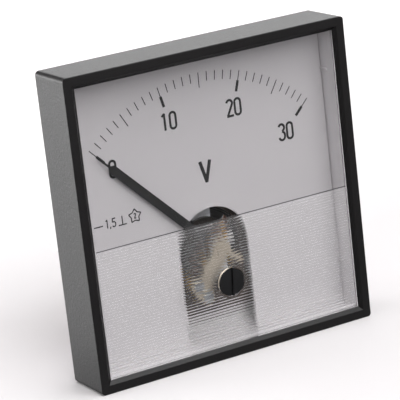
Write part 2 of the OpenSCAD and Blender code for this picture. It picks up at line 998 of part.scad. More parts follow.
facing() bezel_frame();
facing() window();
facing() case();
facing() dial_plate();
facing() zero_adjuster();
facing() zero_lever();
facing() pointer();
facing() balance_cross();
facing() balance_weights();
facing() front_staff();
facing() rear_staff();
facing() coil_former();
facing() coil_winding();
facing() front_hairspring();
facing() rear_hairspring();
facing() front_bridge();
facing() bridge_pillars();
facing() bridge_screws();
facing() front_jewel_screw();
facing() rear_bridge();
facing() rear_bridge_screws();
facing() rear_jewel_screw();
facing() rear_spring_anchor();
facing() magnet();
facing() left_pole_piece();
facing() right_pole_piece();
facing() core();
facing() core_bracket();
facing() core_screws();
facing() movement_plate();
facing() pole_screws();
facing() plate_screws();
facing() series_resistor();
facing() negative_lead();
facing() fixing_studs();
facing() terminal_studs();
facing() terminal_nuts();
facing() terminal_washers();
facing() solder_tags();
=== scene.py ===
# %% [markdown]
# # An analog panel meter
#
# This lesson dresses a finished mechanical model of a panel voltmeter: a black
# square bezel, a clear window whose lower half is ribbed, a dial with a black
# pointer, and a moving-coil movement in a round white barrel. The shapes come
# from the CAD model. What is added here is what CAD is poor at: the printed
# scale, the screw threads, the finish of every surface, and the light.

# %% Load the frame
import json
import math

import bmesh
import bpy
from mathutils import Matrix, Quaternion, Vector


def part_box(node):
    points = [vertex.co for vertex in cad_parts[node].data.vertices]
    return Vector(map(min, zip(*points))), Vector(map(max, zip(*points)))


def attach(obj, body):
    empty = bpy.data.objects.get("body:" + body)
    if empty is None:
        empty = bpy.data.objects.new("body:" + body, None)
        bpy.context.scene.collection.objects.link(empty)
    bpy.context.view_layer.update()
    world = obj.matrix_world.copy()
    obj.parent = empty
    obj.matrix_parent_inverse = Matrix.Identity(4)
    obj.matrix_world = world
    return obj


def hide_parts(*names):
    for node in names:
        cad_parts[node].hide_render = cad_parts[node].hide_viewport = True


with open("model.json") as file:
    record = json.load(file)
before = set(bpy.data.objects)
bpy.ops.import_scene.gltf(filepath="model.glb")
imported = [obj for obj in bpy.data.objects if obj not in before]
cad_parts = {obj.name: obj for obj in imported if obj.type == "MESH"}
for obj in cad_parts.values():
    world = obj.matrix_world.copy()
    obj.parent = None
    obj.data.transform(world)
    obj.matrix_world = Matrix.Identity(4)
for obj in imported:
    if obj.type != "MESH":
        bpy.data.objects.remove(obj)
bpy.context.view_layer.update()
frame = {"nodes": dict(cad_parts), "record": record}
nodes = frame["nodes"]

# %% [markdown]
# ## Measures
#
# Blender works in metres here, and the real object in millimetres, so sizes are
# written in millimetres and multiplied by MM once. Places come from the boxes of
# the CAD nodes: nothing is typed twice, so a change of the model is followed.

# %% Sizes taken from the frame
MM = 0.001


def middle(node):
    """Centre of a node's box."""
    low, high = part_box(node)
    return (Vector(low) + Vector(high)) / 2


dial_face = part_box("dial_plate")[0][1]
bezel_low = Vector(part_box("bezel_frame")[0])
pivot = middle("front_staff")
floor_height = bezel_low.z

# The ribs lie a little below the window's face; the adjuster's collar stays out of the search
window_points = [v.co for v in nodes["window"].data.vertices if abs(v.co.x) > 15 * MM]
window_face = min(point.y for point in window_points)
sunk = [p for p in window_points if window_face + 0.04 * MM < p.y < window_face + 0.3 * MM]
ribs_top = max(point.z for point in sunk)
ribs_end = max(point.x for point in sunk)
print("dial face at", round(dial_face / MM, 2), "mm; pivot at", [round(v / MM, 2) for v in pivot])
print("ribs begin at", round(ribs_top / MM, 2), "mm")

# %% [markdown]
# ## Small tools for finishes
#
# A hex colour is how a person names a colour, and it is stored for a display, so
# one function turns it into the linear light that a shader works with. Another
# adds a shader node with its settings and its links, so that each finish below
# reads as a short list of what is laid over what.


# %% Colour and node helpers
def linear(hex_code):
    """Linear RGBA of an sRGB hex colour."""
    channels = [int(hex_code[i : i + 2], 16) / 255 for i in (1, 3, 5)]
    light = [c / 12.92 if c <= 0.04045 else ((c + 0.055) / 1.055) ** 2.4 for c in channels]
    return (*light, 1.0)


def per(size_mm):
    """Texture scale at which one feature is size_mm across."""
    return 1 / (size_mm * MM)


def add(tree, kind, inputs=None, **settings):
    """A node with its settings; an input is a value, or a socket to link from."""
    node = tree.nodes.new(kind)
    for name, value in settings.items():
        setattr(node, name, value)
    for name, value in (inputs or {}).items():
        if isinstance(value, bpy.types.NodeSocket):
            tree.links.new(value, node.inputs[name])
        else:
            node.inputs[name].default_value = value
    return node


def finish(name, colour, roughness, **more):
    """A new material with one Principled shader, and its tree, shader and coordinates."""
    material = bpy.data.materials.new(name)
    material.use_nodes = True
    tree = material.node_tree
    shader = tree.nodes["Principled BSDF"]
    shader.inputs["Base Color"].default_value = linear(colour)
    shader.inputs["Roughness"].default_value = roughness
    for socket, value in more.items():
        shader.inputs[socket.replace("_", " ")].default_value = value
    place = add(tree, "ShaderNodeTexCoord").outputs["Object"]
    return material, tree, shader, place


def tint(tree, shader, pattern, dark, light):
    """Lets a pattern move the colour between two hex colours."""
    blend = add(tree, "ShaderNodeMix", {0: pattern, 6: linear(dark), 7: linear(light)}, data_type="RGBA")
    tree.links.new(blend.outputs[2], shader.inputs["Base Color"])


def relief(tree, shader, pattern, depth_mm, strength=1.0):
    """Turns a pattern into a bump of a real depth."""
    bump = add(tree, "ShaderNodeBump", {"Height": pattern, "Distance": depth_mm * MM, "Strength": strength})
    tree.links.new(bump.outputs["Normal"], shader.inputs["Normal"])


# %% [markdown]
# ## Moulded plastics
#
# The bezel is ABS moulded in a spark-eroded tool, which leaves an even, dull
# grain of about a third of a millimetre. The grain breaks every highlight into
# a soft grey, and that is why black plastic looks grey where it meets the light
# at a low angle. The case is white ABS from a polished tool, so it is smoother
# and only waves a little.

# %% Black and white mouldings
def grained_abs():
    material, tree, shader, place = finish("grained_black_abs", "#0e0d0e", 0.42, IOR=1.5)
    grain = add(
        tree, "ShaderNodeTexNoise", {"Vector": place, "Scale": per(0.55), "Detail": 4.0, "Roughness": 0.7}
    )
    patch = add(tree, "ShaderNodeTexNoise", {"Vector": place, "Scale": per(9.0), "Detail": 2.0})
    tint(tree, shader, patch.outputs["Fac"], "#0d0b0c", "#131012")
    relief(tree, shader, grain.outputs["Fac"], 0.09, 1.0)
    return material


def white_abs():
    material, tree, shader, place = finish("polished_white_abs", "#dddbdc", 0.34, IOR=1.53)
    patch = add(tree, "ShaderNodeTexNoise", {"Vector": place, "Scale": per(14.0), "Detail": 2.0})
    tint(tree, shader, patch.outputs["Fac"], "#d8d6d7", "#e2e0e1")
    flow = add(tree, "ShaderNodeTexNoise", {"Vector": place, "Scale": per(1.6), "Detail": 2.0})
    relief(tree, shader, flow.outputs["Fac"], 0.012, 0.5)
    return material


def smooth_black():
    material, tree, shader, place = finish("black_adjuster_plastic", "#141415", 0.32, IOR=1.53)
    fine = add(tree, "ShaderNodeTexNoise", {"Vector": place, "Scale": per(0.25), "Detail": 2.0})
    tint(tree, shader, fine.outputs["Fac"], "#121213", "#1a1a1c")
    relief(tree, shader, fine.outputs["Fac"], 0.008, 0.6)
    return material


black_abs, case_abs, knob_plastic = grained_abs(), white_abs(), smooth_black()
print("plastics:", black_abs.name, case_abs.name, knob_plastic.name)

# %% [markdown]
# ## The clear window
#
# Polycarbonate has an IOR of 1.58. It is real solid glass to the ray tracer, so
# the ribs bend what lies behind them, as the real ones do. A path tracer finds
# lamps through curved glass only by luck, so rays that look for lamps are let
# straight through by a Transparent shader, slightly tinted for the light that
# two surfaces turn back. The ribs' surface isn't polished like the rest: it
# scatters a little light, as a thin diffuse layer lit by the lamps, which veils
# the movement behind it and makes the dial there look paler. The layer grows
# from none at the bezel's foot to its most at the ribs' top: a painted
# brightening of the upper ribs, standing in for the light that falls there.


# %% Clear polycarbonate
# The haze rises from the low value at the bezel's foot to the high one at the ribs' top; that rise is painted
# light, brightening the upper ribs.
HAZE_LOW, HAZE_AT_TOP_WITH_PAINTED_LIGHT = 0.0, 0.07


def clear_polycarbonate():
    material, tree, shader, place = finish("clear_polycarbonate", "#fcfbfc", 0.02, IOR=1.58)
    shader.inputs["Transmission Weight"].default_value = 1.0
    swirl = add(tree, "ShaderNodeTexNoise", {"Vector": place, "Scale": per(22.0), "Detail": 1.0})
    relief(tree, shader, swirl.outputs["Fac"], 0.02, 0.3)
    split = add(tree, "ShaderNodeSeparateXYZ", {0: place})
    ribbed = add(
        tree, "ShaderNodeMath", {0: split.outputs["Z"], 1: ribs_top}, operation="LESS_THAN"
    ).outputs[0]
    outer = add(
        tree, "ShaderNodeMath", {0: split.outputs["Y"], 1: window_face + 0.3 * MM}, operation="LESS_THAN"
    ).outputs[0]
    veil = add(tree, "ShaderNodeMath", {0: ribbed, 1: outer}, operation="MULTIPLY").outputs[0]
    # Painted light: the diffuse share grows from the bezel's foot to the ribs' top, so the upper ribs look more
    # lit.
    level = add(
        tree,
        "ShaderNodeMapRange",
        {
            "Value": split.outputs["Z"],
            "From Min": bezel_low.z,
            "From Max": ribs_top,
            "To Min": HAZE_LOW,
            "To Max": HAZE_AT_TOP_WITH_PAINTED_LIGHT,
        },
    ).outputs[0]
    haze_share_with_painted_top_light = add(tree, "ShaderNodeMath", {0: veil, 1: level}, operation="MULTIPLY").outputs[0]
    milk = add(tree, "ShaderNodeBsdfDiffuse", {"Color": linear("#f0eeef")}).outputs[0]
    hazed = add(tree, "ShaderNodeMixShader", {0: haze_share_with_painted_top_light, 1: shader.outputs[0], 2: milk}).outputs[0]
    rays = add(tree, "ShaderNodeLightPath").outputs["Is Shadow Ray"]
    clear = add(tree, "ShaderNodeBsdfTransparent", {"Color": linear("#f3f2f3")}).outputs[0]
    blend = add(tree, "ShaderNodeMixShader", {0: rays, 1: hazed, 2: clear})
    tree.links.new(blend.outputs[0], tree.nodes["Material Output"].inputs["Surface"])
    return material


window_clear = clear_polycarbonate()

# %% [markdown]
# ## Paint and ink
#
# The dial is aluminium sheet under matt white enamel, sprayed, with a faint
# orange peel. The scale is screen-printed in black ink, and the pointer is
# sprayed matt black, which keeps it free of glare.


# %% Dial enamel, ink and pointer paint
def dial_enamel():
    material, tree, shader, place = finish("matt_dial_enamel", "#cfcdce", 0.62)
    peel = add(tree, "ShaderNodeTexNoise", {"Vector": place, "Scale": per(0.9), "Detail": 2.0})
    cloud = add(tree, "ShaderNodeTexNoise", {"Vector": place, "Scale": per(26.0), "Detail": 1.0})
    tint(tree, shader, cloud.outputs["Fac"], "#cbc9ca", "#d3d1d2")
    relief(tree, shader, peel.outputs["Fac"], 0.006, 0.5)
    return material


def screen_ink():
    material, tree, shader, place = finish("black_screen_ink", "#121213", 0.6)
    mesh = add(tree, "ShaderNodeTexNoise", {"Vector": place, "Scale": per(0.12), "Detail": 1.0})
    tint(tree, shader, mesh.outputs["Fac"], "#0e0e0f", "#18181a")
    return material


def pointer_paint():
    material, tree, shader, place = finish("matt_black_paint", "#0b0b0c", 0.62)
    dust = add(tree, "ShaderNodeTexNoise", {"Vector": place, "Scale": per(0.15), "Detail": 2.0})
    tint(tree, shader, dust.outputs["Fac"], "#08080a", "#101012")
    relief(tree, shader, dust.outputs["Fac"], 0.004, 0.6)
    return material


enamel, ink, matt_black = dial_enamel(), screen_ink(), pointer_paint()
print("paints:", enamel.name, ink.name, matt_black.name)

# %% [markdown]
# ## Metals
#
# Each metal keeps the shader's default IOR and takes its look from its colour,
# its roughness and the marks of how it was made. Turned pieces carry rings,
# rolled sheet a faint grain along one axis, plated steel a soft cloudiness.
# One function with a few settings makes them all.


# %% Metals
def metal(name, dark, light, roughness, mark_mm, stretch=(1, 1, 1), depth_mm=0.004):
    material, tree, shader, place = finish(name, light, roughness, Metallic=1.0)
    along = add(tree, "ShaderNodeMapping", {"Vector": place, "Scale": stretch})
    marks = add(
        tree, "ShaderNodeTexNoise", {"Vector": along.outputs[0], "Scale": per(mark_mm), "Detail": 3.0}
    )
    tint(tree, shader, marks.outputs["Fac"], dark, light)
    rough = add(
        tree,
        "ShaderNodeMapRange",
        {"Value": marks.outputs["Fac"], "To Min": roughness * 0.8, "To Max": roughness * 1.3},
    )
    tree.links.new(rough.outputs[0], shader.inputs["Roughness"])
    relief(tree, shader, marks.outputs["Fac"], depth_mm, 0.7)
    return material


turned = (1, 0.12, 1)
rolled = (0.1, 1, 1)
finishes = {
    "brass": metal("turned_brass", "#a9843f", "#d8b56a", 0.26, 0.2, turned),
    "bronze": metal("bronze_strip", "#8a6232", "#b98a4c", 0.3, 0.15),
    "aluminium": metal("bare_aluminium", "#b4b6b8", "#dcdee0", 0.34, 0.25, rolled),
    "pivot_steel": metal("polished_steel", "#8d9094", "#b9bcc0", 0.16, 0.2, turned),
    "soft_iron": metal("blackened_iron", "#2a2725", "#403b37", 0.42, 0.5),
    "magnet_alloy": metal("ground_magnet_alloy", "#3b3c3f", "#5c5e62", 0.45, 0.3, rolled, 0.01),
    "nickel_bridge": metal("plated_brass_sheet", "#bfb198", "#dfd5c3", 0.45, 0.35, rolled),
    "zinc_steel": metal("zinc_plated_steel", "#a8abae", "#d3d6d9", 0.28, 0.6),
    "tinned_brass": metal("tinned_brass", "#c6c5c3", "#e6e5e3", 0.5, 0.5),
}
print("metals:", ", ".join(finishes))

# %% [markdown]
# ## Winding, resistor and lead
#
# The coil is fine enamelled copper wire. Its turns are a tenth of a millimetre
# apart, too fine for geometry, so a wave makes them as ridges. The resistor is
# one CAD node with its leads, so its lacquer is laid where the ceramic body is
# and bare tinned wire shows elsewhere.


# %% Coil, resistor and lead finishes
def between(tree, value, low, high):
    """1 where a value lies between two limits, and 0 elsewhere."""
    above = add(tree, "ShaderNodeMath", {0: value, 1: low}, operation="GREATER_THAN").outputs[0]
    below = add(tree, "ShaderNodeMath", {0: value, 1: high}, operation="LESS_THAN").outputs[0]
    return add(tree, "ShaderNodeMath", {0: above, 1: below}, operation="MULTIPLY").outputs[0]


def enamelled_copper():
    material, tree, shader, place = finish("enamelled_copper", "#6b4a3a", 0.4, Metallic=0.4)
    shader.inputs["Coat Weight"].default_value = 0.6
    turns = add(
        tree,
        "ShaderNodeTexWave",
        {"Vector": place, "Scale": per(0.1) / 20, "Distortion": 0.6, "Detail": 1.0},
        bands_direction="DIAGONAL",
    )
    tint(tree, shader, turns.outputs["Fac"], "#4c3125", "#7d5a47")
    relief(tree, shader, turns.outputs["Fac"], 0.02)
    return material


def banded_resistor():
    material, tree, shader, place = finish("lacquered_ceramic", "#7795a8", 0.28)
    split = add(tree, "ShaderNodeSeparateXYZ", {0: place})
    low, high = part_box("series_resistor")
    body_z = high[2] - 3.6 * MM
    lacquer = between(tree, split.outputs["X"], -3.5 * MM, 3.5 * MM)
    upper = add(
        tree, "ShaderNodeMath", {0: split.outputs["Z"], 1: body_z}, operation="GREATER_THAN"
    ).outputs[0]
    body = add(tree, "ShaderNodeMath", {0: lacquer, 1: upper}, operation="MULTIPLY").outputs[0]
    mottle = add(
        tree, "ShaderNodeTexNoise", {"Vector": place, "Scale": per(0.8), "Detail": 2.0}
    ).outputs["Fac"]
    tint(tree, shader, mottle, "#6d8b9f", "#82a0b2")
    painted = shader.inputs["Base Color"].links[0].from_socket
    for start, hex_code in ((-2.4, "#c2641d"), (-1.1, "#111111"), (0.2, "#c29a1d"), (2.0, "#b08a3a")):
        band = between(tree, split.outputs["X"], start * MM, (start + 0.6) * MM)
        mix = add(tree, "ShaderNodeMix", {0: band, 6: painted, 7: linear(hex_code)}, data_type="RGBA")
        painted = mix.outputs[2]
    wire = add(tree, "ShaderNodeMix", {0: body, 6: linear("#c9cac8"), 7: painted}, data_type="RGBA")
    tree.links.new(wire.outputs[2], shader.inputs["Base Color"])
    bare = add(tree, "ShaderNodeMath", {0: 1.0, 1: body}, operation="SUBTRACT").outputs[0]
    tree.links.new(bare, shader.inputs["Metallic"])
    return material


def blue_pvc():
    material, tree, shader, place = finish("blue_pvc", "#223a86", 0.35)
    split = add(tree, "ShaderNodeSeparateXYZ", {0: place})
    low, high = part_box("negative_lead")
    covered = between(tree, split.outputs["Y"], low[1] + 1.2 * MM, high[1] - 1.3 * MM)
    mottle = add(tree, "ShaderNodeTexNoise", {"Vector": place, "Scale": per(0.6)}).outputs["Fac"]
    tint(tree, shader, mottle, "#1d3277", "#284394")
    cover = shader.inputs["Base Color"].links[0].from_socket
    mix = add(tree, "ShaderNodeMix", {0: covered, 6: linear("#c6c7c5"), 7: cover}, data_type="RGBA")
    tree.links.new(mix.outputs[2], shader.inputs["Base Color"])
    bare = add(tree, "ShaderNodeMath", {0: 1.0, 1: covered}, operation="SUBTRACT").outputs[0]
    tree.links.new(bare, shader.inputs["Metallic"])
    return material


def phenolic_sheet():
    material, tree, shader, place = finish("phenolic_paper_sheet", "#33241b", 0.42, IOR=1.55)
    laid = add(tree, "ShaderNodeMapping", {"Vector": place, "Scale": (0.3, 1, 1)})
    fibre = add(tree, "ShaderNodeTexNoise", {"Vector": laid.outputs[0], "Scale": per(0.5), "Detail": 4.0})
    tint(tree, shader, fibre.outputs["Fac"], "#241913", "#43301f")
    relief(tree, shader, fibre.outputs["Fac"], 0.006, 0.5)
    return material


finishes.update(
    phenolic_sheet=phenolic_sheet(),
    bezel_moulding=black_abs,
    clear_window=window_clear,
    white_moulding=case_abs,
    dial_paint=enamel,
    black_knob=knob_plastic,
    black_paint=matt_black,
    copper_wire=enamelled_copper(),
    resistor_enamel=banded_resistor(),
    blue_insulation=blue_pvc(),
)

# %% [markdown]
# ## Dress the CAD nodes
#
# The record names a material slot for every node, so one loop dresses them all.


# %% Assign the finishes
def dress(piece, material):
    piece.data.materials.clear()
    piece.data.materials.append(material)


for part in frame["record"]["subparts"]:
    dress(nodes[part["node"]], finishes[part["material_slot"]])

# %% [markdown]
# ## Helpers for new pieces
#
# A new piece is built in a bmesh, written to a mesh whose object stays at the
# origin, and set to ride on the body that carries the real one.


# %% New pieces
def keep(name, bm, material, body, smooth=False):
    """Writes a bmesh to a piece of the meter that rides on a body."""
    bmesh.ops.recalc_face_normals(bm, faces=bm.faces)
    for face in bm.faces:
        face.smooth = smooth
    mesh = bpy.data.meshes.new(name)
    bm.to_mesh(mesh)
    bm.free()
    mesh.materials.append(material)
    piece = bpy.data.objects.new(name, mesh)
    bpy.context.scene.collection.objects.link(piece)
    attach(piece, body)
    print(name, "has", len(mesh.polygons), "faces")
    return piece


# %% [markdown]
# ## The printed scale
#
# The scale is a quarter circle round the pivot, with thirty divisions. Each tenth
# mark is a thin line that ends in a bold block, each fifth is a longer line. The
# marks are low blocks of ink, each a cube scaled, pushed out to its radius and
# turned about the pivot: a loop of a few operators, where drawing them one by
# one would be forty separate chores.

# %% Scale marks
INK = 0.03 * MM
SCALE_RADIUS = 40.55 * MM
DIVISIONS = 30
on_dial = Vector((pivot.x, dial_face, pivot.z))


def scale_angle(volts):
    """The mark's angle clockwise from up: the steps close up a little past two thirds."""
    return math.radians(-44.64 + 3.046 * volts - 0.0212 * max(volts - 20, 0) ** 2)


def ink_block(bm, inner, outer, width, angle):
    """A bar of ink from one radius to another, at an angle clockwise from up."""
    made = bmesh.ops.create_cube(bm, size=1.0)["verts"]
    bmesh.ops.scale(bm, verts=made, vec=(width, INK, outer - inner))
    bmesh.ops.translate(bm, verts=made, vec=(0, -INK / 2, (inner + outer) / 2))
    bmesh.ops.rotate(bm, verts=made, cent=(0, 0, 0), matrix=Matrix.Rotation(angle, 3, "Y"))
    bmesh.ops.translate(bm, verts=made, vec=on_dial)


marks = bmesh.new()
for step in range(DIVISIONS + 1):
    angle = scale_angle(step)
    if step % 10 == 0:
        ink_block(marks, SCALE_RADIUS - 2.3 * MM, SCALE_RADIUS, 0.2 * MM, angle)
        ink_block(marks, SCALE_RADIUS - 4.85 * MM, SCALE_RADIUS - 2.3 * MM, 0.65 * MM, angle)
    else:
        length = 3.5 if step % 5 == 0 else 2.15
        ink_block(marks, SCALE_RADIUS - length * MM, SCALE_RADIUS, 0.2 * MM, angle)
keep("scale_marks", marks, ink, "case")

# %% [markdown]
# ## The ledge above the ribs
#
# The ribs lie a little below the window's face, and the small ledge along their
# upper edge turns the light away, so that it reads as a hair line. The ledge is
# far thinner than a pixel, so a dark bar of its own depth stands in it as
# painted shade.

# %% Line on the ledge
ledge = bmesh.new()
made = bmesh.ops.create_cube(ledge, size=1.0)["verts"]
bmesh.ops.scale(ledge, verts=made, vec=(2 * ribs_end - 0.02 * MM, 0.035 * MM, 0.17 * MM))
bmesh.ops.translate(ledge, verts=made, vec=(0, window_face + 0.0225 * MM, ribs_top - 0.095 * MM))
# The matt black paint on this bar is painted shade, standing for the dark hair line that the ledge makes.
keep("painted_shade_ledge_line", ledge, matt_black, "case")

# %% [markdown]
# ## Numerals and signs
#
# Engineers' lettering is a line of constant width, so each sign is a path, not a
# filled outline. A curve with a round bevel gives the line its width, and its
# mesh is then pressed flat, to the thickness of the ink. A figure is kept as a
# few strokes in a box one unit high. A bevelled path pinches where it turns
# sharply, so the lines that meet in a corner are strokes of their own.


# %% Strokes of the signs
def arc(x, z, width, height, start, end, steps=10):
    """Points on part of an ellipse, with angles in degrees, anticlockwise from +x."""
    turn = [math.radians(start + (end - start) * i / steps) for i in range(steps + 1)]
    return [(x + width * math.cos(a), z + height * math.sin(a)) for a in turn]


SIGNS = {
    "0": [arc(0, 0.79, 0.19, 0.19, 0, 180) + arc(0, 0.21, 0.19, 0.19, 180, 360) + [(0.19, 0.79)]],
    "1": [[(-0.17, 0.83), (0.02, 0.98)], [(0, 1), (0, 0)]],
    "2": [arc(0, 0.79, 0.19, 0.19, 170, -20) + [(-0.16, 0.06)], [(-0.22, 0.03), (0.23, 0.03)]],
    "3": [arc(-0.02, 0.77, 0.19, 0.21, 160, -80), arc(-0.02, 0.28, 0.21, 0.26, 85, -160)],
    "5": [[(0.2, 0.97), (-0.2, 0.97)], [(-0.17, 1), (-0.19, 0.53)], arc(-0.02, 0.31, 0.22, 0.29, 130, -150)],
    "V": [[(-0.27, 1), (0, 0)], [(0, 0), (0.27, 1)], [(-0.08, 0.03), (0.08, 0.03)]],
    ",": [[(0.03, 0.12), (-0.05, -0.14)]],
    "-": [[(-0.56, 0.5), (0.56, 0.5)]],
    "T": [[(-0.5, 0.02), (0.5, 0.02)], [(0, 0.02), (0, 1)]],
}
star_tips = [(0.5 if i % 2 else 0.82, math.radians(90 + 36 * i)) for i in range(11)]
star = [(r * math.cos(a), 0.5 + r * math.sin(a)) for r, a in star_tips]
SIGNS["*"] = [list(side) for side in zip(star, star[1:])]
print("signs ready:", " ".join(SIGNS))


# %% Write the signs as ink
def write(bm, sign, x, z, height, line):
    """Adds one sign, x to its middle and z to its foot, all in millimetres."""
    for stroke in SIGNS[sign]:
        curve = bpy.data.curves.new("stroke", "CURVE")
        curve.dimensions = "3D"
        curve.bevel_depth = line * MM / 2
        curve.bevel_resolution = 2
        curve.use_fill_caps = True
        spline = curve.splines.new("POLY")
        spline.points.add(len(stroke) - 1)
        for point, (u, v) in zip(spline.points, stroke):
            point.co = (u * height * MM, 0, v * height * MM, 1)
        holder = bpy.data.objects.new("stroke", curve)
        mesh = bpy.data.meshes.new_from_object(holder)
        bpy.data.objects.remove(holder)
        bpy.data.curves.remove(curve)
        mesh.transform(Matrix.Diagonal((1, 2 * INK / (line * MM), 1, 1)))
        mesh.transform(Matrix.Translation((x * MM, dial_face - INK * 0.5, z * MM)))
        bm.from_mesh(mesh)
        bpy.data.meshes.remove(mesh)


lettering = bmesh.new()
for text, x, z in (("0", -23.25, 10.16), ("10", -7.95, 17.76), ("20", 8.95, 17.36), ("30", 22.0, 8.91)):
    for place, sign in enumerate(text):
        write(lettering, sign, x + (place - (len(text) - 1) / 2) * 2.1, z, 3.9, 0.56)
write(lettering, "V", -0.05, 4.01, 4.8, 0.85)
for sign, x, z, height in (
    ("-", -28.5, -1.04, 2.0),
    ("1", -26.25, -0.84, 2.0),
    (",", -25.5, -0.84, 2.0),
    ("5", -24.55, -0.84, 2.0),
    ("T", -22.45, -0.89, 2.1),
    ("*", -19.2, -0.59, 2.0),
    ("2", -19.2, -0.14, 1.1),
):
    write(lettering, sign, x, z, height, 0.28)
bmesh.ops.remove_doubles(lettering, verts=lettering.verts, dist=0.001 * MM)
keep("dial_lettering", lettering, ink, "case")

# %% [markdown]
# ## Screw threads
#
# A thread is a ridge that climbs round the stud. Spinning a small triangle about
# the axis while it moves along it gives exactly that, in one operator. The core
# is a plain rod of the root's radius, and a short cone points each end, as on a
# rolled thread. The threaded studs stand for the plain CAD ones.


# %% Threaded rod
def threaded_rod(bm, x, z, start, end, radius, pitch, root):
    """A threaded rod along +Y from start to end, in metres."""
    turns = int((end - start) / pitch) - 1
    steps = 20
    half = pitch * 0.42
    first = start + pitch * 0.6
    corners = [(root * 0.97, first - half), (radius, first), (root * 0.97, first + half)]
    ridge = [bm.verts.new((x + r, y, z)) for r, y in corners]
    edges = [bm.edges.new((ridge[i], ridge[(i + 1) % 3])) for i in range(3)]
    bmesh.ops.spin(
        bm,
        geom=ridge + edges,
        cent=(x, 0, z),
        axis=(0, 1, 0),
        dvec=(0, pitch / steps, 0),
        angle=2 * math.pi * turns,
        steps=steps * turns,
    )
    made = bmesh.ops.create_cone(
        bm, cap_ends=True, segments=32, radius1=root, radius2=root, depth=end - start
    )["verts"]
    bmesh.ops.rotate(bm, verts=made, cent=(0, 0, 0), matrix=Matrix.Rotation(-math.pi / 2, 3, "X"))
    bmesh.ops.translate(bm, verts=made, vec=(x, (start + end) / 2, z))


def rod(bm, x, z, start, end, radius, sides=32, end_radius=None):
    """A plain rod, cone or prism along +Y, in metres."""
    made = bmesh.ops.create_cone(
        bm, cap_ends=True, segments=sides, radius1=radius, radius2=end_radius or radius, depth=end - start
    )["verts"]
    bmesh.ops.rotate(bm, verts=made, cent=(0, 0, 0), matrix=Matrix.Rotation(-math.pi / 2, 3, "X"))
    bmesh.ops.translate(bm, verts=made, vec=(x, (start + end) / 2, z))


# %% Fixing studs with M3 threads
stud_low, stud_high = map(Vector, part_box("fixing_studs"))
head_radius = 2.6 * MM
spread = stud_high.x - head_radius
studs = bmesh.new()
for x in (-spread, spread):
    for z in (-spread, spread):
        rod(studs, x, z, stud_low.y, stud_low.y + 1.8 * MM, head_radius)
        rod(studs, x, z, stud_low.y + 1.8 * MM, 0.4 * MM, 1.25 * MM)
        threaded_rod(studs, x, z, 0.2 * MM, stud_high.y - 0.35 * MM, 1.49 * MM, 0.5 * MM, 1.2 * MM)
        rod(studs, x, z, stud_high.y - 0.4 * MM, stud_high.y, 1.2 * MM, end_radius=0.85 * MM)
threaded_studs = keep(
    "threaded_fixing_studs", studs, finishes["zinc_steel"], "case", smooth=False
)
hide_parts("fixing_studs")

# %% Terminals with M4 threads
term_low, term_high = map(Vector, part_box("terminal_studs"))
nut_low = Vector(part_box("terminal_nuts")[0])
washer_high = Vector(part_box("terminal_washers")[1])
offset = washer_high.x - 4.3 * MM
terminals = bmesh.new()
for x in (-offset, offset):
    rod(terminals, x, 0, term_low.y, term_low.y + 2.5 * MM, 7 * MM / math.sqrt(3), sides=6)
    rod(terminals, x, 0, term_low.y + 2.4 * MM, nut_low.y, 1.6 * MM)
    threaded_rod(terminals, x, 0, nut_low.y - 0.5 * MM, term_high.y - 0.4 * MM, 1.99 * MM, 0.7 * MM, 1.6 * MM)
    rod(terminals, x, 0, term_high.y - 0.45 * MM, term_high.y, 1.6 * MM, end_radius=1.1 * MM)
threaded_terminals = keep("threaded_terminals", terminals, finishes["brass"], "case")
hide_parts("terminal_studs")

# %% [markdown]
# ## Polarity signs
#
# A plus and a minus are moulded proud of the rear wall, one above each terminal.
# They are plain bars of the case's own plastic, with their edges bevelled.


# %% Moulded plus and minus
case_high = Vector(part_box("case")[1])


def raised_bar(bm, x, z, width, height, depth=0.35 * MM):
    made = bmesh.ops.create_cube(bm, size=1.0)["verts"]
    bmesh.ops.scale(bm, verts=made, vec=(width, depth, height))
    bmesh.ops.translate(bm, verts=made, vec=(x, case_high.y + depth / 2, z))


polarity = bmesh.new()
sign_size, sign_line, sign_rise = 3.2 * MM, 0.8 * MM, 8.5 * MM
for x in (-offset, offset):
    raised_bar(polarity, x, sign_rise, sign_size, sign_line)
for z in (-1, 1):
    arm = (sign_size - sign_line) / 2
    raised_bar(polarity, offset, sign_rise + z * (sign_line + arm) / 2, sign_line, arm)
bmesh.ops.bevel(
    polarity,
    geom=polarity.edges[:],
    offset=0.08 * MM,
    segments=2,
    profile=0.5,
    affect="EDGES",
    material=-1,
)
keep("polarity_signs", polarity, case_abs, "case")

# %% [markdown]
# ## Floor and backdrop
#
# A product shot is taken on a sweep: a floor that curves up behind the object,
# so that no horizon shows. The sweep adds a little of its own light for the
# camera, which brings it to white and still leaves the object's soft shadow.
# Its mirror image is a painted reflection: rays that mirror the sweep see it
# glow white behind the object and dim in front of it and near its top, like the
# unlit front of a studio, so that the clear window doesn't fog over.


# %% Sweep
PAPER_LIFT = 0.7
# Strengths of the painted reflection in front of and behind the object.
PAINTED_REFLECTION_FRONT, PAINTED_REFLECTION_BACK = 0.12, 1.0


